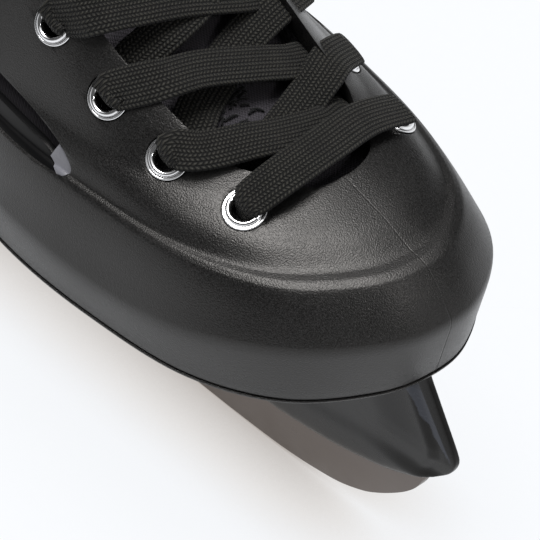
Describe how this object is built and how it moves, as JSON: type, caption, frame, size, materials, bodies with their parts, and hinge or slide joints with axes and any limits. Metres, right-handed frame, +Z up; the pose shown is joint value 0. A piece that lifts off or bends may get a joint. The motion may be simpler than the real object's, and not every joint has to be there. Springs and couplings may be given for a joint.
{
  "type": "ice skate",
  "caption": "Lace-up ice skate: moulded hard boot with a hinged ankle cuff, ratchet buckle and padded lining, on a moulded blade holder with a steel runner.",
  "frame": {"origin": "the flat middle of the runner's bottom edge, in the plane of the blade", "axes": "+X towards the toe, +Y to the skate's left, +Z up"},
  "size_m": [0.295, 0.1232, 0.2811],
  "materials": {
    "shell": "fine moulded grain",
    "liner": "padded textile",
    "tongue": "woven textile over foam",
    "footbed": "felt over foam",
    "eyelet": "polished",
    "slot_insert": "smooth",
    "lace": "braided polyester",
    "aglet": "shrunk film",
    "holder": "satin moulded",
    "runner": "ground",
    "hardware": "plated",
    "cuff": "fine moulded grain",
    "ladder": "satin moulded",
    "buckle": "satin moulded"
  },
  "bodies": {
    "boot": {"shell": "shell", "liner_lower": "liner", "footbed": "footbed", "tongue_lower": "tongue", "eyelets_right": "eyelet", "eyelets_left": "eyelet", "slot_insert_right": "slot_insert", "slot_insert_left": "slot_insert", "lace_threaded": "lace", "lace_knot": "lace", "lace_end_right": "lace", "lace_end_left": "lace", "aglet_right": "aglet", "aglet_left": "aglet", "blade_holder": "holder", "runner": "runner", "runner_bolts": "hardware", "runner_nuts": "hardware", "holder_screws": "hardware", "sole_nuts": "hardware", "pivot_bolt_right": "hardware", "pivot_bolt_left": "hardware", "pivot_nut_right": "hardware", "pivot_nut_left": "hardware"},
    "cuff": {"cuff": "cuff", "liner_upper": "liner", "tongue_upper": "tongue", "ladder_strap": "ladder", "strap_screws": "hardware", "buckle_base": "buckle", "buckle_rivets": "hardware", "lever_pin": "hardware", "pawl_pin": "hardware"},
    "lever": {"buckle_lever": "buckle"},
    "pawl": {"buckle_pawl": "hardware"}
  },
  "joints": [
    {"name": "ankle_flex", "type": "hinge", "parent": "boot", "child": "cuff", "pos_m": [-0.078, 0, 0.148], "axis": [0, 1, 0], "range_deg": [-3, 8], "stiffness_Nm_per_rad": 8},
    {"name": "lever_lift", "type": "hinge", "parent": "cuff", "child": "lever", "pos_m": [-0.03628, 0.05557, 0.225], "axis": [0, 0, -1], "range_deg": [0, 40]},
    {"name": "pawl_release", "type": "hinge", "parent": "cuff", "child": "pawl", "pos_m": [-0.06025, 0.05844, 0.225], "axis": [0, 0, 1], "range_deg": [0, 12], "stiffness_Nm_per_rad": 0.02}
  ]
}
